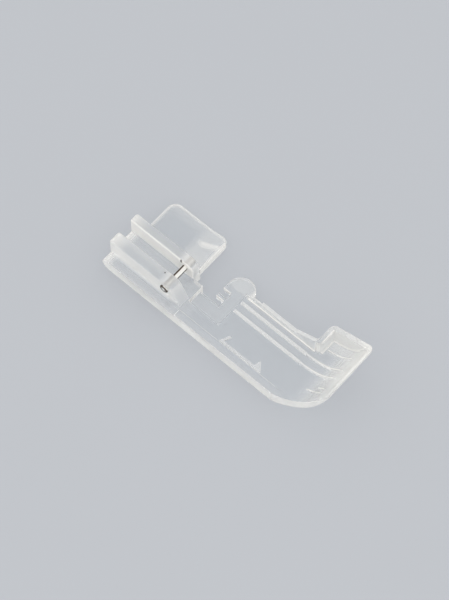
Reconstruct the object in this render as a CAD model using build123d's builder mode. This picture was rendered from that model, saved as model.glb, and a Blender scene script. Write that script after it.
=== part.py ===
"""Clear moulded overlock presser foot with a steel cross pin.

+X runs from heel to toe, +Y from the guide edge to the knife side and +Z up. The origin is the middle of the
foot's footprint, on the sole. Sizes along X are measured from the heel and sizes along Y from the guide edge,
in millimetres.
"""

import os
from math import cos, radians, tan

from build123d import *

# Overall footprint
foot_length = 54.2
foot_width = 19.6

# Heel block, level with the guide floor
floor_top = 3.15
heel_radius = 1.8
heel_top_radius = 1.2
block_front = 18.85
block_far = 8.5

# Ankle ribs and the gap between them
near_rib_offset = 2.2
near_rib_width = 2.8
ankle_gap = 3.25
far_rib_width = 2.05
rib_top = 7.7
rib_heel_radius = 0.8
rib_root_radius = 0.9
rib_edge_radius = 0.45
near_rib_crest_end = 16.05
near_rib_ramp_angle = 62.0
near_rib_ramp_radius = 1.0
far_rib_front = 16.45
far_rib_nose_radius = 1.8

# Cross pin with a flat head on the guide side, pressed into both ribs with no clearance
pin_diameter = 1.2
pin_from_heel = 14.45
pin_height = 5.95
pin_chamfer = 0.12
pin_head_diameter = 1.9
pin_head_thickness = 0.3
pin_clearance = 0.0

# Thin seam flap beside the far rib
flap_rear = 1.5
flap_thickness = 1.4
flap_corner_radius = 2.1
flap_edge_radius = 0.3
flap_front = 16.35
lip_start = 10.25
lip_radius = 13.0
lip_angle = 45.0

# Needle window and head pad
window_thickness = 1.55
window_near = 4.4
window_front = 26.45
window_corner_radius = 0.5
window_edge_radius = 0.4
first_needle = 8.62
needle_pitch = 2.16
notch_width = 1.36
notch_rear = 21.65
notch_depth = 1.9
head_radius = 3.0
head_from_edge = 13.1

# Guide floor: near ledge, two long ridges and the short guide lines in the curl, all with round tops
ledge_top = 3.55
ledge_width = 1.6
ledge_run_out = 3.4
ridge_radius = 0.32
ridge_height = 0.42
ridge_rear = 26.95
ridge_fade_radius = 4.5
line_radius = 0.2
line_height = 0.25
line_fade_radius = 4.0
fade_angle = 27.0
short_line_offset = 4.75
short_line_pitch = 1.1
short_line_angle = 33.0
short_line_lag_angle = 15.0
boot_line_offset = 14.0
boot_line_angle = 17.5

# Plain index arrow moulded on the guide floor
mark_height = 0.3
mark_rear = 29.0
mark_front = 39.4
mark_offset = 1.85
mark_shaft_width = 0.45
mark_barb_reach = 1.95
mark_barb_run = 1.5
mark_tail_run = 0.9

# Curled toe, measured back from the toe end
sole_curl_run = 11.2
sole_curl_angle = 62.0
floor_curl_run = 10.72
floor_curl_radius = 9.74
floor_curl_angle = 55.0
curl_wall = 0.56
toe_taper_run = 10.2
toe_taper_angle = 17.5
toe_taper_radius = 8.0
toe_near_radius = 2.5
toe_far_radius = 0.6
toe_edge_radius = 0.3

# Guard rim round the knife cut-out and the boot in front of it, which ends at the toe end
neck_far = 12.85
neck_front = 30.4
far_edge = 13.2
rim_inner = 12.45
rim_top = 4.4
rim_rear = 28.2
rim_ramp_run = 5.45
boot_length = 9.85
boot_rear_top = 7.5
boot_rear_wall = 1.25
boot_far = 17.5
boot_far_wall = 1.05
boot_corner_radius = 1.2
boot_inner_radius = 0.5
boot_end_radius = 0.7

# How far joined features run into each other
embed = 0.4

# Straight down from the curl's centre, where the curl starts
curl_start_angle = -90.0

# Quarter turn of a rib's rounded root
root_turn_angle = 90.0

# Places worked out from the sizes above
heel_x = -foot_length / 2
edge_y = -foot_width / 2
near_rib_root = near_rib_offset - rib_root_radius
near_rib_inner = near_rib_offset + near_rib_width
far_rib_inner = near_rib_inner + ankle_gap
far_rib_outer = far_rib_inner + far_rib_width
flap_near = far_rib_outer - embed
near_rib_rise = rib_top - floor_top + embed
near_rib_foot = near_rib_crest_end + near_rib_rise / tan(radians(near_rib_ramp_angle))
pin_hole_diameter = pin_diameter + pin_clearance
notch_front = notch_rear + notch_depth
first_notch = first_needle - notch_width / 2
second_notch = first_notch + needle_pitch
head_front = notch_rear + 2 * head_radius
sole_curl_start = foot_length - sole_curl_run
sole_curl_radius = floor_curl_radius + curl_wall
floor_curl_start = foot_length - floor_curl_run
toe_taper_start = foot_length - toe_taper_run
toe_end_near = toe_taper_run * tan(radians(toe_taper_angle))
boot_rear = foot_length - boot_length
rim_ramp_start = boot_rear - rim_ramp_run
curl_centre = (floor_curl_start, floor_top + floor_curl_radius)
ridge_centre = floor_top + ridge_height - ridge_radius
mark_far = mark_offset + mark_shaft_width
trim_height = 2 * (floor_top + floor_curl_radius)


def plan_view(height=0):
    """Sketch plane seen from above, with its origin over the heel's near corner."""
    return Plane((heel_x, edge_y, height))


def side_view(from_edge):
    """Sketch plane seen from the guide edge, standing at a distance from it."""
    return Plane((heel_x, edge_y + from_edge, 0), x_dir=(1, 0, 0), z_dir=(0, -1, 0))


def cross_view():
    """Sketch plane across the foot at the heel, with the distance from the guide edge along it."""
    return Plane((heel_x, edge_y, 0), x_dir=(0, 1, 0), z_dir=(1, 0, 0))


def curl_line(start, height, curl_start, radius, angle):
    """Side line that runs level, curls up and then climbs straight to the toe end."""
    level = Line((start, height), (curl_start, height))
    curl = JernArc(level @ 1, (1, 0), radius, angle)
    climb = PolarLine(curl @ 1, (foot_length - (curl @ 1).X) / cos(radians(angle)), angle)
    return level @ 0, climb @ 1


def sole_line(start):
    """Side line of the sole, ending at the bottom of the toe end."""
    return curl_line(start, 0, sole_curl_start, sole_curl_radius, sole_curl_angle)


def floor_line(start):
    """Side line of the guide floor, ending at the top of the toe end."""
    return curl_line(start, floor_top, floor_curl_start, floor_curl_radius, floor_curl_angle)


def bead_end(curl, fade_radius):
    """Last bend of a bead's centre line, down into the climbing floor."""
    JernArc(curl @ 1, curl % 1, fade_radius, -fade_angle)


def corner(x, y):
    """Sketch corner nearest to a place given in the sketch's own directions."""
    return vertices().sort_by_distance((x, y))[0]


# Front plate: side line of the floor and toe with the near ledge, trimmed to the plan outline
with BuildPart() as front_plate:
    with BuildSketch(side_view(0)):
        with BuildLine():
            sole_rear, sole_tip = sole_line(block_front - embed)
            floor_rear, floor_tip = floor_line(block_front - embed)
            toe_tip = (floor_tip.X, floor_tip.Y)
            Line(sole_rear, floor_rear)
            Line(sole_tip, floor_tip)
        make_face()
        fillet(corner(*toe_tip), toe_edge_radius)
    extrude(amount=-boot_far)
    with BuildSketch(plan_view(floor_top - embed)):
        with BuildLine():
            Polyline(
                (block_front, 0),
                (floor_curl_start + ledge_run_out, 0),
                (floor_curl_start + ledge_run_out, ledge_width),
                (block_front, ledge_width),
                close=True,
            )
        make_face()
    extrude(amount=ledge_top - floor_top + embed)
    with BuildSketch(plan_view()):
        with BuildLine():
            Polyline(
                (block_front - embed, 0),
                (toe_taper_start, 0),
                (foot_length, toe_end_near),
                (foot_length, boot_far),
                (boot_rear, boot_far),
                (boot_rear, far_edge),
                (neck_front, far_edge),
                (neck_front, neck_far),
                (window_front, neck_far),
                (window_front, window_near),
                (block_front - embed, window_near),
                close=True,
            )
        make_face()
        fillet(corner(toe_taper_start, 0), toe_taper_radius)
        fillet(corner(foot_length, toe_end_near), toe_near_radius)
        fillet(corner(foot_length, boot_far), toe_far_radius)
        fillet(corner(boot_rear, boot_far), boot_corner_radius)
        fillet(corner(boot_rear, far_edge), boot_inner_radius)
        fillet(corner(window_front, window_near), window_corner_radius)
    extrude(amount=trim_height, mode=Mode.INTERSECT)
    window_edge = (heel_x + window_front, edge_y + first_needle, floor_top)
    fillet(edges().filter_by(Axis.Y).sort_by_distance(window_edge)[0], window_edge_radius)

# Guard rim: plan band along the cut-out and round the boot, trimmed to its side line
with BuildPart() as guard_rim:
    with BuildSketch(plan_view()):
        with BuildLine():
            Polyline(
                (rim_rear, neck_far),
                (neck_front, neck_far),
                (neck_front, far_edge),
                (boot_rear, far_edge),
                (boot_rear, boot_far),
                (foot_length, boot_far),
                (foot_length, boot_far - boot_far_wall),
                (boot_rear + boot_rear_wall, boot_far - boot_far_wall),
                (boot_rear + boot_rear_wall, rim_inner),
                (rim_rear, rim_inner),
                close=True,
            )
        make_face()
        fillet(corner(foot_length, boot_far), toe_far_radius)
        fillet(corner(boot_rear, boot_far), boot_corner_radius)
        fillet(corner(boot_rear, far_edge), boot_inner_radius)
        fillet(corner(boot_rear + boot_rear_wall, rim_inner), boot_corner_radius)
    extrude(amount=trim_height)
    with BuildSketch(side_view(0)):
        with BuildLine():
            rim_sole_rear, rim_sole_tip = sole_line(rim_rear)
            Polyline(
                rim_sole_rear,
                (rim_rear, rim_top),
                (rim_ramp_start, rim_top),
                (boot_rear, boot_rear_top),
                toe_tip,
                rim_sole_tip,
            )
        make_face()
        fillet(corner(*toe_tip), boot_end_radius)
    extrude(amount=-foot_width, mode=Mode.INTERSECT)

# Near ankle rib: ramped wall on the heel block, rounded from the heel over the crest and down the ramp
with BuildPart() as near_rib:
    with BuildSketch(side_view(near_rib_offset)):
        with BuildLine():
            Polyline(
                (0, heel_radius),
                (near_rib_crest_end, heel_radius),
                (near_rib_foot, floor_top - embed),
                (near_rib_crest_end, rib_top),
                (0, rib_top),
                close=True,
            )
        make_face()
        fillet(corner(0, rib_top), rib_heel_radius)
        fillet(corner(near_rib_crest_end, rib_top), near_rib_ramp_radius)
    extrude(amount=-near_rib_width)
    fillet(faces().sort_by(Axis.Z)[-1].edges().filter_by(Axis.X), rib_edge_radius)

# Hollow root along the near rib, with the same ramped end
with BuildPart() as rib_root:
    with BuildSketch(side_view(near_rib_root)):
        with BuildLine():
            Polyline(
                (heel_top_radius, floor_top - embed),
                (near_rib_foot, floor_top - embed),
                (near_rib_crest_end, rib_top),
                (heel_top_radius, rib_top),
                close=True,
            )
        make_face()
    extrude(amount=-(rib_root_radius + embed))
    with BuildSketch(cross_view()):
        with BuildLine():
            root = JernArc((near_rib_root, floor_top), (1, 0), rib_root_radius, root_turn_angle)
            Polyline(
                root @ 1,
                (near_rib_offset + embed, floor_top + rib_root_radius),
                (near_rib_offset + embed, floor_top - embed),
                (near_rib_root, floor_top - embed),
                root @ 0,
            )
        make_face()
    extrude(amount=foot_length, mode=Mode.INTERSECT)

# Far ankle rib: wall with a rounded nose, rounded from the heel over the crest and down the nose
with BuildPart() as far_rib:
    with BuildSketch(side_view(far_rib_inner)):
        with BuildLine():
            Polyline(
                (0, heel_radius),
                (far_rib_front, heel_radius),
                (far_rib_front, rib_top),
                (0, rib_top),
                close=True,
            )
        make_face()
        fillet(corner(0, rib_top), rib_heel_radius)
        fillet(corner(far_rib_front, rib_top), far_rib_nose_radius)
    extrude(amount=-far_rib_width)
    fillet(faces().sort_by(Axis.Z)[-1].edges().filter_by(Axis.X), rib_edge_radius)

# Seam flap: thin plate whose front lip curls up
with BuildPart() as flap:
    with BuildSketch(side_view(flap_near)):
        with BuildLine():
            under = Line((flap_rear, 0), (lip_start, 0))
            under_curl = JernArc(under @ 1, (1, 0), lip_radius, lip_angle)
            over = Line((flap_rear, flap_thickness), (lip_start, flap_thickness))
            over_curl = JernArc(over @ 1, (1, 0), lip_radius - flap_thickness, lip_angle)
            Line(under @ 0, over @ 0)
            Line(under_curl @ 1, over_curl @ 1)
        make_face()
    extrude(amount=-(foot_width - flap_near))
    with BuildSketch(plan_view()):
        with BuildLine():
            Polyline(
                (flap_rear, flap_near),
                (flap_front, flap_near),
                (flap_front, foot_width),
                (flap_rear, foot_width),
                close=True,
            )
        make_face()
        fillet(corner(flap_front, foot_width), flap_corner_radius)
        fillet(corner(flap_rear, foot_width), flap_corner_radius)
    extrude(amount=trim_height, mode=Mode.INTERSECT)
    flap_edge = (heel_x + lip_start, edge_y + foot_width, flap_thickness)
    fillet(edges().filter_by(Axis.X).sort_by_distance(flap_edge)[0], flap_edge_radius)

with BuildPart() as foot_body:
    # Heel block, and the narrower block under the far rib
    for front, near_side, far_side in (
        (block_front, 0, block_far),
        (far_rib_front, block_far - embed, far_rib_outer),
    ):
        with BuildSketch(side_view(near_side)):
            with BuildLine():
                Polyline((0, 0), (front, 0), (front, floor_top), (0, floor_top), close=True)
            make_face()
            fillet(corner(0, 0), heel_radius)
            fillet(corner(0, floor_top), heel_top_radius)
        extrude(amount=near_side - far_side)
    add(near_rib.part)
    add(rib_root.part)
    add(far_rib.part)
    add(flap.part)
    add(front_plate.part)
    add(guard_rim.part)
    # Needle window plate with its two notches and the head pad
    with BuildSketch(plan_view()):
        with BuildLine():
            Polyline(
                (block_front - embed, window_near - embed),
                (block_front - embed, first_notch),
                (notch_front, first_notch),
                (notch_front, first_notch + notch_width),
                (notch_rear, first_notch + notch_width),
                (notch_rear, second_notch),
                (notch_front, second_notch),
                (notch_front, second_notch + notch_width),
                (notch_rear, second_notch + notch_width),
                (notch_rear, head_from_edge),
            )
            RadiusArc((notch_rear, head_from_edge), (head_front, head_from_edge), head_radius)
            Polyline(
                (head_front, head_from_edge),
                (head_front, window_near - embed),
                (block_front - embed, window_near - embed),
            )
        make_face()
    extrude(amount=window_thickness)
    # Long guide ridges in line with the two needles
    for needle_line in (first_needle, first_needle + needle_pitch):
        with BuildLine(side_view(needle_line)):
            level = Line((ridge_rear, ridge_centre), (floor_curl_start, ridge_centre))
            curl = JernArc(level @ 1, (1, 0), curl_centre[1] - ridge_centre, floor_curl_angle)
            bead_end(curl, ridge_fade_radius)
        with BuildSketch(Plane((heel_x + ridge_rear, edge_y + needle_line, ridge_centre), z_dir=(1, 0, 0))):
            Circle(ridge_radius)
        sweep()
    # Short guide lines in the curl of the toe and the boot
    for from_edge, sweep_start in (
        (short_line_offset, short_line_angle),
        (short_line_offset + short_line_pitch, short_line_angle + short_line_lag_angle),
        (boot_line_offset, boot_line_angle),
    ):
        with BuildLine(side_view(from_edge)) as line_path:
            curl = CenterArc(
                curl_centre,
                floor_curl_radius - line_height + line_radius,
                curl_start_angle + sweep_start,
                floor_curl_angle - sweep_start,
            )
            bead_end(curl, line_fade_radius)
        with BuildSketch(Plane(line_path.line @ 0, z_dir=line_path.line % 0)):
            Circle(line_radius)
        sweep()
    # Index arrow: slanted tail, straight shaft and a one-sided head
    with BuildSketch(plan_view(floor_top - embed)):
        with BuildLine():
            Polyline(
                (mark_rear, mark_offset),
                (mark_front, mark_offset),
                (mark_front - mark_barb_run, mark_offset + mark_barb_reach),
                (mark_front - mark_barb_run - mark_shaft_width, mark_far),
                (mark_rear + mark_shaft_width + mark_tail_run * mark_shaft_width / mark_barb_reach, mark_far),
                (mark_rear + mark_shaft_width + mark_tail_run, mark_offset + mark_barb_reach),
                (mark_rear + mark_tail_run, mark_offset + mark_barb_reach),
                close=True,
            )
        make_face()
    extrude(amount=mark_height + embed)
    # Pin holes through both ribs
    with BuildSketch(side_view(near_rib_offset)):
        with Locations((pin_from_heel, pin_height)):
            Circle(pin_hole_diameter / 2)
    extrude(amount=-(far_rib_outer - near_rib_offset), mode=Mode.SUBTRACT)

foot_body.part.label = "foot_body"

with BuildPart() as cross_pin:
    with BuildSketch(side_view(near_rib_offset)):
        with Locations((pin_from_heel, pin_height)):
            Circle(pin_diameter / 2)
    extrude(amount=-(far_rib_outer - near_rib_offset))
    chamfer(edges().sort_by(Axis.Y)[-1], pin_chamfer)
    with BuildSketch(side_view(near_rib_offset)):
        with Locations((pin_from_heel, pin_height)):
            Circle(pin_head_diameter / 2)
    extrude(amount=pin_head_thickness)
    chamfer(edges().sort_by(Axis.Y)[0], pin_chamfer)

cross_pin.part.label = "cross_pin"

os.makedirs("parts", exist_ok=True)
export_step(foot_body.part, "parts/foot_body.step")
export_step(cross_pin.part, "parts/cross_pin.step")
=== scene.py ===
"""Clear moulded presser foot with a steel cross pin, lying on a pale studio floor."""

from math import cos, radians, sin

import bmesh
import bpy
from mathutils import Matrix, Vector

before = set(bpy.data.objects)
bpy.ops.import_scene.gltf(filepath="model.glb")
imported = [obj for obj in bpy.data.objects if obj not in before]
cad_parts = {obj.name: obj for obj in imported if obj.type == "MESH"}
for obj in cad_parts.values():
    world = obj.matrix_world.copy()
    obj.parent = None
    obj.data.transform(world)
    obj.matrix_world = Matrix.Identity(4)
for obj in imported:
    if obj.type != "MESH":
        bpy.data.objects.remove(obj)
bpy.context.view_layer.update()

# Camera: it looks down at the guide floor from the guide edge's side
VIEW_AZIMUTH = 41.3
VIEW_ELEVATION = 65.3
VIEW_DISTANCE = 0.5
VIEW_TARGET = Vector((-0.00405, 0.0003, 0.0))
VIEW_LENS = 153.0
SENSOR_WIDTH = 36.0

# Studio: floor board, light tent and softbox
FLOOR_SIDE = 1.6
FLOOR_GAP = 0.00002
FLOOR_PAINT = (0.53, 0.55, 0.583, 1.0)
FLOOR_GRAIN = 0.985
FLOOR_GRAIN_SCALE = 30.0
FLOOR_ROUGHNESS = 0.9
FLOOR_SPECULAR = 0.1
TENT_TOP = 0.9
TENT_SIDES = 1.22
SOFTBOX_PLACE = Vector((0.5, -0.56, 0.8))
SOFTBOX_SIDE = 0.9
SOFTBOX_POWER = 1.2
SOFTBOX_TINT = (1.0, 0.995, 0.985)

# Places on the moulding, in metres from the middle of the sole: x runs to the toe, y to the flap
HEEL_END = -0.0271
GUIDE_EDGE = -0.0098
HEEL_BLOCK_FRONT = -0.00825
FLOOR_TOP = 0.00315

RIB_ROOT = 0.0036
RIB_CREST = 0.0055
NEAR_RIB_OUTER = -0.0076
NEAR_RIB_INNER = -0.0048
FAR_RIB_INNER = -0.00155
FAR_RIB_OUTER = 0.0005
RAMP_REAR = HEEL_BLOCK_FRONT - 0.0042
RAMP_FRONT = HEEL_BLOCK_FRONT - 0.001

FLAP_FRONT = -0.01075
FLAP_LIP = -0.01685
FLAP_MIDDLE = (-0.018175, 0.0)
FLAP_HALF = (0.007425, 0.0098)
FLAP_CORNER = 0.0021
FLAP_RIM_WIDTH = 0.0007
# Painted highlight on the flap's lip: where the slanted wedge starts and how it runs
LIP_HIGHLIGHT_START = (-0.0171, 0.0062, 0.0)
LIP_HIGHLIGHT_ALONG = (0.965, 0.262, 0.0)
LIP_HIGHLIGHT_ACROSS = (0.262, -0.965, 0.0)

WINDOW_TOP = 0.00155
WINDOW_FRONT = -0.00065
WINDOW_NEAR = -0.0054
WINDOW_FAR = 0.0025
PLATE_FAR = -0.0035
NOTCH_REAR = -0.00545
NOTCH_FRONT = -0.00355
NOTCH_FAR_WALLS = (-0.0005, 0.00166)
NOTCH_WALL_HALF = 0.00012
HEAD_MIDDLE = (-0.00245, 0.0033)
HEAD_RADIUS = 0.003
HEAD_HALF = (HEAD_RADIUS, HEAD_RADIUS)
HEAD_RIM_WIDTH = 0.0006

RIDGE_LINES = (-0.00118, 0.00098)
RIDGE_HALF = 0.00019
# Half width of the painted glow beside the ridges
RIDGE_PAINTED_GLOW_HALF = 0.0003
RIDGE_REAR = -0.0001
RIDGE_FRONT = 0.0248
SHORT_LINES = (-0.00505, -0.00395, 0.0042)
SHORT_LINE_HALF = 0.00015
ARROW_HEIGHT = 0.0003
ARROW_REAR = 0.0019
ARROW_FRONT = 0.0123
ARROW_NEAR = -0.00795
ARROW_FAR = -0.006

CURL_START = 0.01638
CURL_RADIUS = 0.00974
RIM_INNER = 0.00265
RIM_TOP = 0.0044
RIM_RAMP = 0.0118
RIM_SLOPE = 0.569
RIM_REAR = 0.0011
RIM_FRONT = 0.01725
BOOT_REAR_INNER = 0.0185
BOOT_FAR_INNER = 0.00665
BOOT_REAR_TOP = 0.0075

# How milky the moulding looks: 0 is clear and 1 is a plain wall's milk. A pair is the start and end of a
# soft change, and a share is a factor on the milk of that part
WALL_MILK = 1.0
TOE_WALL_MILK = 0.84
RIB_MILK = 0.14
FAR_RIB_SHARE = 0.25
FAR_RIB_FACE_MILK = 1.35
PRESSED_MILK = 0.62
HEEL_END_MILK = 0.8
TOE_MILK = 0.82
TOE_NEAR_SHARE = 0.75
BOOT_MILK = (0.3, 0.42)
RIDGE_MILK = (0.8, 1.0)
# Strength of the painted glow beside the ridges
RIDGE_PAINTED_GLOW = 0.6
SHORT_LINE_MILK = 0.95
# Painted highlight on the needle notches' far walls
NOTCH_HIGHLIGHT_MILK = 1.3
ARROW_MILK = 0.45
RIM_CROWN_MILK = 0.52
RIM_SIDE_MILK = 0.28
FLAP_FRONT_MILK = 0.82
FLAP_RIM_MILK = 0.66
# Strength of the painted highlight on the flap's lip
LIP_HIGHLIGHT_MILK = 0.7
HEAD_RIM_MILK = 0.28
HEAD_FRONT_MILK = 0.72

# Light haze on the flats, on the same scale; the lip's pair is a factor from the rib to the far edge
LIP_HAZE = 0.24
LIP_RIB_TO_EDGE = (1.45, 0.95)
RIB_SIDE_HAZE = 0.13
FLAP_EDGE_HAZE = 0.16
HEEL_HAZE = 0.11
HEEL_EDGE_HAZE = 0.33
WINDOW_HAZE = 0.075
RIDGE_FLOOR_HAZE = 0.06
LEDGE_HAZE = 0.1
HEAD_HAZE = 0.22

# Share of their milkiness that clearer walls lose
RIB_ROOT_CLEAR = 0.5
NEAR_RIB_CLEAR = 0.28
RAMP_CLEAR = 0.75
FAR_RIB_CLEAR = 0.75
STEP_CLEAR = 0.8
NOTCH_CLEAR = 0.88
HEAD_REAR_CLEAR = 0.6
NEAR_WALL_CLEAR = (0.22, 0.1)

# Plastic: tints, gloss, flow lines, shading of the light that falls through, and specks on the ribs
EDGE_ROUNDING = 0.0003
EDGE_SAMPLES = 6
PLASTIC_IOR = 1.49
CLEAR_TINT = (0.972, 0.984, 0.988, 1.0)
MILKY_TINT = (0.975, 0.958, 0.915, 1.0)
MILK_WHITENESS = (0.62, 0.675)
CLEAR_SHADE = (0.97, 0.975, 0.977, 1.0)
MILKY_SHADE = (0.86, 0.86, 0.86, 1.0)
MOULD_GLOSS = (0.05, 0.1)
WALL_FROST = 0.34
TOE_FROST = 0.16
SATIN_FROST = 0.3
FLOW_SCALE = 140.0
FLOW_STRENGTH = 0.05
FLOW_DEPTH = 0.0002
HAZE_SCALE = 900.0
SPECK_COLOUR = (0.06, 0.045, 0.035, 1.0)
SPECK_COVER = 0.9
RIB_SPECKS = (
    ((-0.01368, -0.00155, 0.0072), (0.0003, 0.0004, 0.0007)),
    ((-0.01421, -0.00559, 0.0077), (0.0002, 0.0002, 0.0004)),
)

# Cross pin: painted highlight on its upward side and the middle of its head, painted brown shade
# elsewhere
PIN_PLACE = (-0.01265, 0.0, 0.00595)
PIN_HEAD_END = -0.0076
PIN_HIGHLIGHT_FACING = (0.423, 0.0, 0.906)
PIN_PAINTED_SHADE = (0.085, 0.062, 0.042, 1.0)
PIN_PAINTED_HIGHLIGHT = (0.94, 0.92, 0.88, 1.0)
PIN_GLOSS = (0.22, 0.38)
PIN_LINE_STRETCH = (1.0, 0.06, 1.0)
PIN_LINE_SCALE = 4200.0
PIN_LINE_STRENGTH = 0.12
PIN_LINE_DEPTH = 0.00005

scene = bpy.context.scene
scene.view_settings.view_transform = "Standard"


def new_material(name):
    """An empty node material with its output node."""
    mat = bpy.data.materials.new(name)
    mat.use_nodes = True
    tree = mat.node_tree
    tree.nodes.clear()
    out = tree.nodes.new("ShaderNodeOutputMaterial")
    return mat, tree, out


def math_node(tree, operation, first, second=None, clamp=False):
    """A Math node fed by sockets or plain numbers; returns its output socket."""
    node = tree.nodes.new("ShaderNodeMath")
    node.operation = operation
    node.use_clamp = clamp
    for socket, value in zip(node.inputs, (first, second)):
        if value is None:
            continue
        if isinstance(value, bpy.types.NodeSocket):
            tree.links.new(value, socket)
        else:
            socket.default_value = value
    return node.outputs[0]


def vector_node(tree, operation, first, second=(0.0, 0.0, 0.0), result="Vector"):
    """A Vector Math node fed by a socket and a plain vector; returns the named output socket."""
    node = tree.nodes.new("ShaderNodeVectorMath")
    node.operation = operation
    tree.links.new(first, node.inputs[0])
    node.inputs[1].default_value = second
    return node.outputs[result]


def range_node(tree, value, low, high, to_low, to_high):
    """A Map Range node with soft ends; returns its output socket."""
    node = tree.nodes.new("ShaderNodeMapRange")
    node.interpolation_type = "SMOOTHSTEP"
    tree.links.new(value, node.inputs["Value"])
    node.inputs["From Min"].default_value = low
    node.inputs["From Max"].default_value = high
    node.inputs["To Min"].default_value = to_low
    node.inputs["To Max"].default_value = to_high
    return node.outputs["Result"]


def colour_mix(tree, factor, first, second):
    """A colour Mix node between two plain colours; returns its output socket."""
    node = tree.nodes.new("ShaderNodeMix")
    node.data_type = "RGBA"
    tree.links.new(factor, node.inputs["Factor"])
    node.inputs["A"].default_value = first
    node.inputs["B"].default_value = second
    return node.outputs["Result"]


def noise_node(tree, coords, scale, detail=3.0):
    """A Noise Texture on the given coordinates; returns its value socket."""
    node = tree.nodes.new("ShaderNodeTexNoise")
    node.inputs["Scale"].default_value = scale
    node.inputs["Detail"].default_value = detail
    node.inputs["Roughness"].default_value = 0.55
    tree.links.new(coords, node.inputs["Vector"])
    return node.outputs["Fac"]


def noise_range(tree, noise, low, high):
    """Spreads a noise value between two numbers; returns its output socket."""
    return range_node(tree, noise, 0.3, 0.7, low, high)


def bump_node(tree, height, strength, depth):
    """A Bump node for fine surface relief; returns its normal socket."""
    node = tree.nodes.new("ShaderNodeBump")
    node.inputs["Strength"].default_value = strength
    node.inputs["Distance"].default_value = depth
    tree.links.new(height, node.inputs["Height"])
    return node.outputs["Normal"]


def split_xyz(tree, vector):
    """The X, Y and Z output sockets of a vector."""
    node = tree.nodes.new("ShaderNodeSeparateXYZ")
    tree.links.new(vector, node.inputs["Vector"])
    return node.outputs


def multiply(tree, *factors):
    """Product of sockets and plain numbers; returns its output socket."""
    product = factors[0]
    for factor in factors[1:]:
        product = math_node(tree, "MULTIPLY", product, factor)
    return product


def most(tree, *values):
    """Largest of sockets and plain numbers; returns its output socket."""
    largest = values[0]
    for value in values[1:]:
        largest = math_node(tree, "MAXIMUM", largest, value)
    return largest


def band(tree, value, low, high, blur):
    """1 between two values and 0 outside them, with blurred ends; returns its output socket."""
    rise = range_node(tree, value, low - blur, low + blur, 0.0, 1.0)
    fall = range_node(tree, value, high - blur, high + blur, 1.0, 0.0)
    return multiply(tree, rise, fall)


def stripes(tree, value, middles, half, blur):
    """1 within half a width of any of the middles; returns its output socket."""
    return most(tree, *[band(tree, value, middle - half, middle + half, blur) for middle in middles])


def measure(tree, coords, start, direction):
    """Distance from a start along a direction; returns its output socket."""
    away = vector_node(tree, "SUBTRACT", coords, start)
    return vector_node(tree, "DOT_PRODUCT", away, direction, "Value")


def outline_rim(tree, coords, middle, half, corner, width):
    """1 on the rim just inside a plan outline with rounded corners."""
    away = vector_node(tree, "SUBTRACT", coords, (middle[0], middle[1], 0.0))
    folded = vector_node(tree, "ABSOLUTE", away)
    inset = vector_node(tree, "SUBTRACT", folded, (half[0] - corner, half[1] - corner, 1.0))
    outside = vector_node(tree, "MAXIMUM", inset)
    reach = vector_node(tree, "LENGTH", outside, result="Value")
    return range_node(tree, reach, corner - width, corner - 0.1 * width, 0.0, 1.0)


def floor_height(tree, place):
    """Height above the guide floor, along the flat and up the curl of the toe."""
    run = most(tree, math_node(tree, "SUBTRACT", place["X"], CURL_START), 0.0)
    drop = math_node(tree, "SUBTRACT", FLOOR_TOP + CURL_RADIUS, place["Z"])
    squares = math_node(tree, "ADD", multiply(tree, run, run), multiply(tree, drop, drop))
    return math_node(tree, "SUBTRACT", CURL_RADIUS, math_node(tree, "SQRT", squares))


def rib_zone(tree, place):
    """1 on the two ankle ribs."""
    return multiply(
        tree,
        range_node(tree, place["Z"], FLOOR_TOP + 0.0001, FLOOR_TOP + 0.0004, 0.0, 1.0),
        range_node(tree, place["X"], HEEL_BLOCK_FRONT, HEEL_BLOCK_FRONT + 0.0002, 1.0, 0.0),
    )


def flap_zone(tree, place):
    """1 on the seam flap beside the far rib."""
    return multiply(
        tree,
        range_node(tree, place["Y"], FAR_RIB_OUTER, FAR_RIB_OUTER + 0.0004, 0.0, 1.0),
        range_node(tree, place["X"], FLAP_FRONT + 0.0002, FLAP_FRONT + 0.0006, 1.0, 0.0),
    )


def flap_front_zone(tree, place):
    """1 on the flap's front edge."""
    return multiply(
        tree,
        band(tree, place["X"], FLAP_FRONT - 0.0007, FLAP_FRONT + 0.0005, 0.0003),
        range_node(tree, place["Y"], FAR_RIB_OUTER + 0.0002, FAR_RIB_OUTER + 0.0006, 0.0, 1.0),
    )


def head_zone(tree, place):
    """1 on the round head pad beside the window."""
    return multiply(
        tree,
        range_node(tree, place["Y"], HEAD_MIDDLE[1] - 0.0006, HEAD_MIDDLE[1], 0.0, 1.0),
        band(tree, place["X"], HEAD_MIDDLE[0] - 0.0033, HEAD_MIDDLE[0] + 0.0033, 0.0001),
    )


def rim_zone(tree, place):
    """1 on the guard rim above the guide floor, up to the boot."""
    return multiply(
        tree,
        band(tree, place["X"], RIM_REAR - 0.0002, RIM_FRONT, 0.0002),
        range_node(tree, place["Y"], RIM_INNER - 0.0003, RIM_INNER - 0.0002, 0.0, 1.0),
        range_node(tree, place["Z"], FLOOR_TOP - 0.0002, FLOOR_TOP - 0.0001, 0.0, 1.0),
    )


def behind_toe(tree, place):
    """1 behind the curled toe and 0 on it."""
    return range_node(tree, place["X"], CURL_START - 0.0005, CURL_START + 0.0008, 1.0, 0.0)


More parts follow.
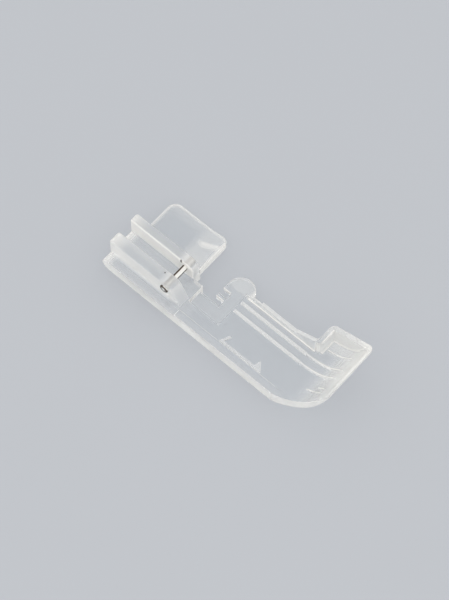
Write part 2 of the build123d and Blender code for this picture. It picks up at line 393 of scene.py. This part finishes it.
def levelness(tree, place):
    """1 on level faces and 0 on upright ones; edges in front of the heel block count as rounded."""
    rounded = tree.nodes.new("ShaderNodeBevel")
    rounded.samples = EDGE_SAMPLES
    rounded.inputs["Radius"].default_value = EDGE_ROUNDING
    geometry = tree.nodes.new("ShaderNodeNewGeometry")
    rounded_level = math_node(tree, "ABSOLUTE", split_xyz(tree, rounded.outputs["Normal"])["Z"])
    true_level = math_node(tree, "ABSOLUTE", split_xyz(tree, geometry.outputs["Normal"])["Z"])
    on_heel = range_node(tree, place["X"], HEEL_BLOCK_FRONT - 0.0004, HEEL_BLOCK_FRONT - 0.0002, 1.0, 0.0)
    change = multiply(tree, on_heel, math_node(tree, "SUBTRACT", true_level, rounded_level))
    return math_node(tree, "ADD", rounded_level, change)


def wall_milk(tree, place, level):
    """Milky walls and edges, and the thick crests of the ribs."""
    steep = multiply(tree, range_node(tree, level, 0.45, 0.985, WALL_MILK, 0.0), behind_toe(tree, place))
    upright = range_node(tree, level, 0.2, 0.45, TOE_WALL_MILK, 0.0)
    thick = multiply(
        tree,
        range_node(tree, place["Z"], RIB_ROOT, RIB_CREST, 0.0, RIB_MILK),
        range_node(tree, place["Y"], NEAR_RIB_INNER, FAR_RIB_INNER, 1.0, FAR_RIB_SHARE),
    )
    return most(tree, steep, upright, thick)


def rib_clear(tree, place):
    """Clearer roots, ramp, near rib and far outer face of the ankle ribs."""
    above_block = multiply(
        tree,
        range_node(tree, place["X"], HEEL_BLOCK_FRONT - 0.0002, HEEL_BLOCK_FRONT, 1.0, 0.0),
        range_node(tree, place["Z"], FLOOR_TOP - 0.0002, FLOOR_TOP, 0.0, 1.0),
    )
    root = multiply(
        tree,
        range_node(tree, place["Z"], FLOOR_TOP, RIB_CREST, RIB_ROOT_CLEAR, 0.0),
        range_node(tree, place["Y"], NEAR_RIB_OUTER, NEAR_RIB_OUTER + 0.0006, 0.0, 1.0),
    )
    near_rib = range_node(tree, place["Y"], NEAR_RIB_INNER, FAR_RIB_INNER, NEAR_RIB_CLEAR, 0.0)
    ramp = range_node(tree, place["X"], RAMP_REAR, RAMP_FRONT, 0.0, RAMP_CLEAR)
    far_face = range_node(tree, place["Y"], FAR_RIB_OUTER - 0.0004, FAR_RIB_OUTER, 0.0, FAR_RIB_CLEAR)
    return multiply(tree, above_block, most(tree, root, near_rib, ramp, far_face))


def window_clear(tree, place):
    """Clearer step, notches and head rear round the needle window."""
    step = multiply(
        tree,
        band(tree, place["X"], HEEL_BLOCK_FRONT + 0.0002, WINDOW_FRONT + 0.0005, 0.0001),
        band(tree, place["Y"], WINDOW_NEAR - 0.0005, WINDOW_FAR, 0.0002),
        band(tree, place["Z"], WINDOW_TOP + 0.0001, FLOOR_TOP + 0.0001, 0.00005),
        STEP_CLEAR,
    )
    notches = multiply(
        tree,
        band(tree, place["X"], HEEL_BLOCK_FRONT + 0.0005, NOTCH_FRONT + 0.0004, 0.0002),
        band(tree, place["Y"], PLATE_FAR, WINDOW_FAR, 0.0003),
        range_node(tree, place["Z"], WINDOW_TOP + 0.0001, WINDOW_TOP + 0.0003, NOTCH_CLEAR, 0.0),
    )
    head_x = HEAD_MIDDLE[0]
    head_rear = multiply(
        tree,
        range_node(tree, place["X"], head_x - 0.0012, head_x + 0.0006, HEAD_REAR_CLEAR, 0.0),
        band(tree, place["X"], head_x - 0.0034, WINDOW_FRONT, 0.0001),
        range_node(tree, place["Y"], WINDOW_FAR - 0.0004, WINDOW_FAR + 0.0002, 0.0, 1.0),
    )
    return most(tree, step, notches, head_rear)


def wall_share(tree, place):
    """Share of the walls' milkiness that is left on each wall; the rim has its own milk."""
    near_wall = multiply(
        tree,
        range_node(tree, place["X"], HEEL_BLOCK_FRONT - 0.002, HEEL_BLOCK_FRONT, *NEAR_WALL_CLEAR),
        range_node(tree, place["Y"], GUIDE_EDGE + 0.0001, GUIDE_EDGE + 0.0003, 1.0, 0.0),
        range_node(tree, place["Z"], 0.0003, 0.0012, 0.0, 1.0),
    )
    clear = most(
        tree,
        rib_clear(tree, place),
        window_clear(tree, place),
        rim_zone(tree, place),
        near_wall,
    )
    return math_node(tree, "SUBTRACT", 1.0, clear)


def end_milk(tree, place):
    """Milkiness that grows towards the rounded heel, up the curled toe and in the boot."""
    heel = range_node(tree, place["X"], HEEL_END, HEEL_END + 0.0029, HEEL_END_MILK, 0.0)
    toe = multiply(
        tree,
        range_node(tree, place["X"], CURL_START + 0.004, CURL_START + 0.0104, 0.0, TOE_MILK),
        range_node(tree, place["Y"], NEAR_RIB_INNER, FAR_RIB_OUTER, TOE_NEAR_SHARE, 1.0),
    )
    boot = multiply(
        tree,
        range_node(tree, place["X"], CURL_START, CURL_START + 0.006, *BOOT_MILK),
        range_node(tree, place["X"], RIM_FRONT - 0.0008, RIM_FRONT - 0.0002, 0.0, 1.0),
        range_node(tree, place["Y"], RIM_INNER, RIM_INNER + 0.003, 0.0, 1.0),
    )
    return most(tree, heel, toe, boot)


def heel_haze(tree, place):
    """Light haze on the heel block's flats, stronger along the guide edge."""
    flat = range_node(tree, place["Y"], FAR_RIB_INNER, FAR_RIB_INNER + 0.0002, HEEL_HAZE, 0.0)
    edge = range_node(tree, place["Y"], GUIDE_EDGE + 0.0001, GUIDE_EDGE + 0.0012, HEEL_EDGE_HAZE, 0.0)
    on_block = range_node(tree, place["X"], HEEL_BLOCK_FRONT, HEEL_BLOCK_FRONT + 0.003, 1.0, 0.0)
    return multiply(tree, most(tree, flat, edge), on_block)


def floor_haze(tree, place):
    """Light haze on the window plate, between the ridges and on the ledge at the guide edge."""
    window = multiply(
        tree,
        band(tree, place["X"], HEEL_BLOCK_FRONT, WINDOW_FRONT, 0.0002),
        band(tree, place["Y"], WINDOW_NEAR, WINDOW_FAR + 0.004, 0.0002),
        WINDOW_HAZE,
    )
    between_ridges = multiply(
        tree,
        range_node(tree, place["X"], WINDOW_FRONT, WINDOW_FRONT + 0.001, 0.0, RIDGE_FLOOR_HAZE),
        band(tree, place["Y"], RIDGE_LINES[0] + 0.0008, RIM_INNER, 0.0003),
    )
    ledge = multiply(
        tree,
        range_node(tree, place["X"], HEEL_BLOCK_FRONT, HEEL_BLOCK_FRONT + 0.003, 0.0, LEDGE_HAZE),
        range_node(tree, place["Y"], GUIDE_EDGE + 0.0009, GUIDE_EDGE + 0.0016, 1.0, 0.0),
    )
    return most(tree, window, between_ridges, ledge)


def rib_milk(tree, place):
    """Whitening of the ribs over the pressed-in pin, and the far rib's milky inner face."""
    aside = math_node(tree, "ABSOLUTE", math_node(tree, "SUBTRACT", place["X"], PIN_PLACE[0]))
    pressed = multiply(
        tree,
        range_node(tree, aside, 0.0004, 0.0022, PRESSED_MILK, 0.0),
        range_node(tree, place["Z"], PIN_PLACE[2], RIB_CREST + 0.0015, 0.3, 1.0),
        range_node(tree, place["Y"], NEAR_RIB_INNER, FAR_RIB_INNER, 1.0, 1.2),
    )
    far_face = multiply(
        tree,
        band(tree, place["Y"], FAR_RIB_INNER - 0.0002, FAR_RIB_INNER + 0.0002, 0.0001),
        FAR_RIB_FACE_MILK,
    )
    return multiply(tree, most(tree, pressed, far_face), rib_zone(tree, place))


def lip_highlight(tree, coords):
    """Painted slanted highlight on the flap's lip: sharp along one side, fading towards the rib."""
    along = measure(tree, coords, LIP_HIGHLIGHT_START, LIP_HIGHLIGHT_ALONG)
    across = measure(tree, coords, LIP_HIGHLIGHT_START, LIP_HIGHLIGHT_ACROSS)
    return multiply(
        tree,
        range_node(tree, across, -0.0001, 0.00025, 0.0, 1.0),
        range_node(tree, across, 0.0002, 0.0026, 1.0, 0.0),
        range_node(tree, along, -0.0003, 0.0024, 0.0, 1.0),
        range_node(tree, along, 0.0058, 0.0066, 1.0, 0.0),
    )


def flap_milk(tree, coords, place):
    """The seam flap's hazy lip, a painted highlight on the lip, its rim and its front edge."""
    lip = multiply(
        tree,
        range_node(tree, place["X"], FLAP_LIP - 0.001, FLAP_LIP + 0.0015, 0.0, LIP_HAZE),
        range_node(tree, place["Y"], FAR_RIB_OUTER + 0.001, FAR_RIB_OUTER + 0.005, *LIP_RIB_TO_EDGE),
    )
    rib_side = range_node(tree, place["Y"], FAR_RIB_OUTER, FAR_RIB_OUTER + 0.0035, RIB_SIDE_HAZE, 0.0)
    edge = FLAP_HALF[1]
    far_side = range_node(tree, place["Y"], edge - 0.0033, edge - 0.0003, 0.0, FLAP_EDGE_HAZE)
    lip_highlight_mask = multiply(tree, lip_highlight(tree, coords), LIP_HIGHLIGHT_MILK)
    outline = outline_rim(tree, coords, FLAP_MIDDLE, FLAP_HALF, FLAP_CORNER, FLAP_RIM_WIDTH)
    rim = multiply(tree, outline, FLAP_RIM_MILK)
    flap = multiply(tree, most(tree, lip, rib_side, far_side, lip_highlight_mask, rim), flap_zone(tree, place))
    front = multiply(tree, flap_front_zone(tree, place), FLAP_FRONT_MILK)
    return most(tree, flap, front)


def head_milk(tree, coords, place):
    """The head pad's light haze, its rim and its whiter front."""
    outline = outline_rim(tree, coords, HEAD_MIDDLE, HEAD_HALF, HEAD_RADIUS, HEAD_RIM_WIDTH)
    rim = multiply(tree, outline, HEAD_RIM_MILK)
    head_x = HEAD_MIDDLE[0]
    front = range_node(tree, place["X"], head_x + 0.0012, head_x + 0.0026, 0.0, HEAD_FRONT_MILK)
    return multiply(tree, most(tree, rim, front, HEAD_HAZE), head_zone(tree, place))


def notch_painted_highlight(tree, place):
    """Painted highlights on the needle notches' far walls, where the light catches them."""
    return multiply(
        tree,
        stripes(tree, place["Y"], NOTCH_FAR_WALLS, NOTCH_WALL_HALF, 0.00005),
        band(tree, place["X"], NOTCH_REAR - 0.0001, NOTCH_FRONT, 0.0001),
        range_node(tree, place["Z"], 0.0004, 0.0009, 0.0, 1.0),
        range_node(tree, place["Z"], WINDOW_TOP + 0.0001, WINDOW_TOP + 0.0002, NOTCH_HIGHLIGHT_MILK, 0.0),
    )


def ridge_milk_and_painted_glow(tree, place, height):
    """The two round-topped guide ridges, with a painted soft glow beside them in the curl."""
    tops = multiply(
        tree,
        stripes(tree, place["Y"], RIDGE_LINES, RIDGE_HALF, 0.00008),
        range_node(tree, height, 0.00002, 0.00012, 0.0, 1.0),
        range_node(tree, place["X"], CURL_START, CURL_START + 0.004, *RIDGE_MILK),
    )
    # Painted glow beside the ridges in the curl
    glow = multiply(
        tree,
        stripes(tree, place["Y"], RIDGE_LINES, RIDGE_PAINTED_GLOW_HALF, 0.0002),
        range_node(tree, place["X"], CURL_START - 0.001, CURL_START + 0.004, 0.0, RIDGE_PAINTED_GLOW),
        band(tree, height, -0.0001, 0.0004, 0.0001),
    )
    length = band(tree, place["X"], RIDGE_REAR, RIDGE_FRONT, 0.0004)
    return multiply(tree, most(tree, tops, glow), length)


def short_line_milk(tree, place, height):
    """The short guide lines in the curl of the toe and the boot."""
    return multiply(
        tree,
        stripes(tree, place["Y"], SHORT_LINES, SHORT_LINE_HALF, 0.00006),
        range_node(tree, height, 0.00002, 0.0001, 0.0, 1.0),
        range_node(tree, height, 0.0004, 0.0005, 1.0, 0.0),
        range_node(tree, place["X"], CURL_START, CURL_START + 0.001, 0.0, SHORT_LINE_MILK),
    )


def arrow_milk(tree, place, height):
    """The index arrow's level top."""
    return multiply(
        tree,
        band(tree, height, ARROW_HEIGHT - 0.00006, ARROW_HEIGHT + 0.00004, 0.00002),
        band(tree, place["X"], ARROW_REAR, ARROW_FRONT, 0.0001),
        band(tree, place["Y"], ARROW_NEAR, ARROW_FAR, 0.0001),
        ARROW_MILK,
    )


def rim_milk_and_foot_highlight(tree, place, height):
    """The guard rim's milky top, its clearer sides and a painted highlight line at its foot."""
    climb = most(tree, math_node(tree, "SUBTRACT", place["X"], RIM_RAMP), 0.0)
    top = math_node(tree, "ADD", multiply(tree, climb, RIM_SLOPE), RIM_TOP)
    below_top = math_node(tree, "SUBTRACT", top, place["Z"])
    crown = range_node(tree, below_top, 0.00005, 0.0003, RIM_CROWN_MILK, RIM_SIDE_MILK)
    # Painted highlight: a bright line along the rim's foot
    foot_highlight = multiply(
        tree,
        band(tree, place["Y"], RIM_INNER - 0.0004, RIM_INNER + 0.0001, 0.0001),
        band(tree, place["X"], WINDOW_FRONT + 0.0007, RIM_FRONT, 0.0004),
        band(tree, height, -0.00008, 0.00025, 0.00005),
    )
    return most(tree, multiply(tree, crown, rim_zone(tree, place)), foot_highlight)


def boot_painted_highlights(tree, place, height):
    """Painted highlight lines at the foot and crest of the boot's inner walls, and a painted white fill
    in its corner with the rim, where shade falls.
    """
    rear = multiply(
        tree,
        band(tree, place["X"], BOOT_REAR_INNER - 0.0003, BOOT_REAR_INNER + 0.0003, 0.0001),
        range_node(tree, place["Y"], RIM_INNER, RIM_INNER + 0.0004, 0.0, 1.0),
    )
    far = multiply(
        tree,
        band(tree, place["Y"], BOOT_FAR_INNER - 0.0003, BOOT_FAR_INNER + 0.0003, 0.0001),
        range_node(tree, place["X"], BOOT_REAR_INNER - 0.0003, BOOT_REAR_INNER, 0.0, 1.0),
    )
    foot_highlight = multiply(tree, most(tree, rear, far), band(tree, height, -0.0001, 0.0003, 0.0001))
    # Painted light: white fill over the shade in the corner between the boot and the rim
    corner = multiply(
        tree,
        band(tree, place["X"], RIM_FRONT - 0.0003, RIM_FRONT + 0.0009, 0.0002),
        band(tree, place["Y"], RIM_INNER - 0.0003, RIM_INNER + 0.0012, 0.0002),
        band(tree, place["Z"], FLOOR_TOP + 0.0002, BOOT_REAR_TOP - 0.0007, 0.0003),
    )
    crest = multiply(
        tree,
        band(tree, place["X"], BOOT_REAR_INNER - 0.00035, BOOT_REAR_INNER + 0.00015, 0.00012),
        band(tree, place["Y"], RIM_INNER + 0.0002, BOOT_FAR_INNER + 0.0001, 0.0002),
        range_node(tree, place["Z"], BOOT_REAR_TOP - 0.0004, BOOT_REAR_TOP - 0.0001, 0.0, 1.0),
    )
    return most(tree, foot_highlight, corner, crest)


def milk_and_painted_highlights(tree, coords, place, level):
    """Milkiness of the whole moulding, with the painted highlights and the painted glow folded in."""
    height = floor_height(tree, place)
    return most(
        tree,
        multiply(tree, wall_milk(tree, place, level), wall_share(tree, place)),
        end_milk(tree, place),
        heel_haze(tree, place),
        floor_haze(tree, place),
        rib_milk(tree, place),
        flap_milk(tree, coords, place),
        head_milk(tree, coords, place),
        notch_painted_highlight(tree, place),
        ridge_milk_and_painted_glow(tree, place, height),
        short_line_milk(tree, place, height),
        arrow_milk(tree, place, height),
        rim_milk_and_foot_highlight(tree, place, height),
        boot_painted_highlights(tree, place, height),
    )


def dark_specks(tree, coords):
    """Small dark specks on the ribs beside the pin."""
    specks = []
    for middle, reach in RIB_SPECKS:
        away = vector_node(tree, "SUBTRACT", coords, middle)
        squeezed = vector_node(tree, "DIVIDE", away, reach)
        distance = vector_node(tree, "LENGTH", squeezed, result="Value")
        specks.append(range_node(tree, distance, 0.4, 1.0, 1.0, 0.0))
    return most(tree, *specks)


def frosting(tree, place, level):
    """Satin on walls, ribs, rim and flap front, and a light frost on the toe."""
    walls = multiply(tree, range_node(tree, level, 0.8, 0.998, WALL_FROST, 0.0), behind_toe(tree, place))
    toe = range_node(tree, place["X"], CURL_START - 0.003, CURL_START + 0.001, 0.0, TOE_FROST)
    satin = most(tree, rib_zone(tree, place), rim_zone(tree, place), flap_front_zone(tree, place))
    return most(tree, walls, toe, multiply(tree, satin, SATIN_FROST))


def plastic_surface(tree, coords, place, level, cloud):
    """See-through plastic, white where it is milky, with dark specks; returns its shader."""
    flow = noise_node(tree, coords, FLOW_SCALE)
    haze = noise_node(tree, coords, HAZE_SCALE, detail=4.0)
    specks = dark_specks(tree, coords)
    shader = tree.nodes.new("ShaderNodeBsdfPrincipled")
    shader.inputs["IOR"].default_value = PLASTIC_IOR
    speckled = colour_mix(tree, specks, CLEAR_TINT, SPECK_COLOUR)
    tree.links.new(colour_mix(tree, cloud, CLEAR_TINT, MILKY_TINT), speckled.node.inputs["A"])
    tree.links.new(speckled, shader.inputs["Base Color"])
    milk = multiply(tree, cloud, noise_range(tree, haze, *MILK_WHITENESS))
    cover = most(tree, milk, multiply(tree, specks, SPECK_COVER))
    see_through = math_node(tree, "SUBTRACT", 1.0, cover, clamp=True)
    tree.links.new(see_through, shader.inputs["Transmission Weight"])
    gloss = noise_range(tree, flow, *MOULD_GLOSS)
    roughness = math_node(tree, "ADD", gloss, frosting(tree, place, level), clamp=True)
    tree.links.new(roughness, shader.inputs["Roughness"])
    tree.links.new(bump_node(tree, flow, FLOW_STRENGTH, FLOW_DEPTH), shader.inputs["Normal"])
    return shader.outputs["BSDF"]


def let_light_through(tree, surface, cloud):
    """Lets studio light fall through the plastic, less where it is milky; returns its shader."""
    rays = tree.nodes.new("ShaderNodeLightPath")
    passing = tree.nodes.new("ShaderNodeBsdfTransparent")
    tree.links.new(colour_mix(tree, cloud, CLEAR_SHADE, MILKY_SHADE), passing.inputs["Color"])
    for ray in ("Is Diffuse Ray", "Is Shadow Ray"):
        mix = tree.nodes.new("ShaderNodeMixShader")
        tree.links.new(rays.outputs[ray], mix.inputs["Fac"])
        tree.links.new(surface, mix.inputs[1])
        tree.links.new(passing.outputs["BSDF"], mix.inputs[2])
        surface = mix.outputs["Shader"]
    return surface


def clear_plastic():
    """Clear moulding: see-through on the flats, milky on walls, edges, ridges, ends and ribs, with
    painted highlights on the flap's lip, the notches, the rim's foot and the boot.
    """
    mat, tree, out = new_material("clear_plastic")
    coords = tree.nodes.new("ShaderNodeTexCoord").outputs["Object"]
    place = split_xyz(tree, coords)
    level = levelness(tree, place)
    cloud = milk_and_painted_highlights(tree, coords, place, level)
    surface = plastic_surface(tree, coords, place, level, cloud)
    tree.links.new(let_light_through(tree, surface, cloud), out.inputs["Surface"])
    return mat


def pin_painted_light(tree, coords, lines):
    """1 where the pin is painted bright: a painted highlight on its upward side and the middle of its
    head.
    """
    side = measure(tree, coords.outputs["Normal"], (0.0, 0.0, 0.0), PIN_HIGHLIGHT_FACING)
    lit_facing = math_node(tree, "ADD", side, noise_range(tree, lines, -0.06, 0.06))
    lit_side = range_node(tree, lit_facing, 0.72, 0.82, 0.0, 1.0)
    place = split_xyz(tree, coords.outputs["Object"])
    aside = math_node(tree, "SUBTRACT", place["X"], PIN_PLACE[0])
    above = math_node(tree, "SUBTRACT", place["Z"], PIN_PLACE[2])
    squares = math_node(tree, "ADD", multiply(tree, aside, aside), multiply(tree, above, above))
    head_highlight = multiply(
        tree,
        range_node(tree, math_node(tree, "SQRT", squares), 0.0003, 0.00072, 1.0, 0.0),
        range_node(tree, place["Y"], PIN_HEAD_END, PIN_HEAD_END + 0.0001, 1.0, 0.0),
    )
    return most(tree, lit_side, head_highlight)


def pin_steel():
    """Drawn steel with a painted highlight on its upward side and the middle of its head, and painted
    brown shade elsewhere.
    """
    mat, tree, out = new_material("pin_steel")
    coords = tree.nodes.new("ShaderNodeTexCoord")
    stretch = tree.nodes.new("ShaderNodeMapping")
    stretch.inputs["Scale"].default_value = PIN_LINE_STRETCH
    tree.links.new(coords.outputs["Object"], stretch.inputs["Vector"])
    lines = noise_node(tree, stretch.outputs["Vector"], PIN_LINE_SCALE, detail=5.0)
    painted_light = pin_painted_light(tree, coords, lines)
    shader = tree.nodes.new("ShaderNodeBsdfPrincipled")
    shader.inputs["Metallic"].default_value = 1.0
    # Painted light: brown painted shade, and a bright painted highlight where the pin faces up and on its
    # head's middle
    tree.links.new(colour_mix(tree, painted_light, PIN_PAINTED_SHADE, PIN_PAINTED_HIGHLIGHT), shader.inputs["Base Color"])
    tree.links.new(noise_range(tree, lines, *PIN_GLOSS), shader.inputs["Roughness"])
    tree.links.new(bump_node(tree, lines, PIN_LINE_STRENGTH, PIN_LINE_DEPTH), shader.inputs["Normal"])
    tree.links.new(shader.outputs["BSDF"], out.inputs["Surface"])
    return mat


def floor_paint():
    """Plain pale blue-grey studio board."""
    mat, tree, out = new_material("floor_paint")
    coords = tree.nodes.new("ShaderNodeTexCoord")
    grain = noise_node(tree, coords.outputs["Object"], FLOOR_GRAIN_SCALE)
    shader = tree.nodes.new("ShaderNodeBsdfPrincipled")
    shader.inputs["Roughness"].default_value = FLOOR_ROUGHNESS
    shader.inputs["Specular IOR Level"].default_value = FLOOR_SPECULAR
    darker = tuple(c * FLOOR_GRAIN for c in FLOOR_PAINT[:3]) + (1.0,)
    tree.links.new(colour_mix(tree, grain, darker, FLOOR_PAINT), shader.inputs["Base Color"])
    tree.links.new(shader.outputs["BSDF"], out.inputs["Surface"])
    return mat


def studio_floor():
    """Large flat board just under the sole."""
    mesh = bpy.data.meshes.new("studio_floor")
    shape = bmesh.new()
    bmesh.ops.create_grid(shape, x_segments=1, y_segments=1, size=FLOOR_SIDE / 2)
    bmesh.ops.translate(shape, verts=shape.verts, vec=(0.0, 0.0, -FLOOR_GAP))
    shape.to_mesh(mesh)
    shape.free()
    board = bpy.data.objects.new("studio_floor", mesh)
    board.data.materials.append(floor_paint())
    scene.collection.objects.link(board)


def key_softbox():
    """One large square softbox on the camera's side, turned to the foot."""
    lamp = bpy.data.lights.new("key_softbox", "AREA")
    lamp.shape = "SQUARE"
    lamp.size = SOFTBOX_SIDE
    lamp.energy = SOFTBOX_POWER
    lamp.color = SOFTBOX_TINT
    holder = bpy.data.objects.new("key_softbox", lamp)
    holder.location = SOFTBOX_PLACE
    holder.rotation_euler = (-SOFTBOX_PLACE).to_track_quat("-Z", "Y").to_euler()
    scene.collection.objects.link(holder)


def light_tent():
    """White light tent, brighter towards its sides."""
    tent = bpy.data.worlds.new("light_tent")
    tent.use_nodes = True
    tree = tent.node_tree
    coords = tree.nodes.new("ShaderNodeTexCoord")
    direction = split_xyz(tree, coords.outputs["Generated"])
    glow = range_node(tree, direction["Z"], 0.0, 0.85, TENT_SIDES, TENT_TOP)
    tree.links.new(glow, tree.nodes["Background"].inputs["Strength"])
    tree.nodes["Background"].inputs["Color"].default_value = (1.0, 1.0, 1.0, 1.0)
    scene.world = tent


def photo_camera():
    """Camera at the photograph's viewing angle."""
    azimuth = radians(VIEW_AZIMUTH)
    elevation = radians(VIEW_ELEVATION)
    back = Vector((cos(elevation) * sin(azimuth), -cos(elevation) * cos(azimuth), sin(elevation)))
    right = Vector((cos(azimuth), sin(azimuth), 0.0))
    up = back.cross(right)
    camera = bpy.data.cameras.new("photo_camera")
    camera.lens = VIEW_LENS
    camera.sensor_width = SENSOR_WIDTH
    camera.clip_start = 0.01
    camera.clip_end = 10.0
    holder = bpy.data.objects.new("photo_camera", camera)
    turn = Matrix((right, up, back)).transposed().to_4x4()
    holder.matrix_world = Matrix.Translation(VIEW_TARGET + back * VIEW_DISTANCE) @ turn
    scene.collection.objects.link(holder)
    scene.camera = holder


def finish_node(name, mat):
    """Gives a CAD node its finish."""
    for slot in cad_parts[name].material_slots:
        slot.material = mat


finish_node("foot_body", clear_plastic())
finish_node("cross_pin", pin_steel())
studio_floor()
light_tent()
key_softbox()
photo_camera()
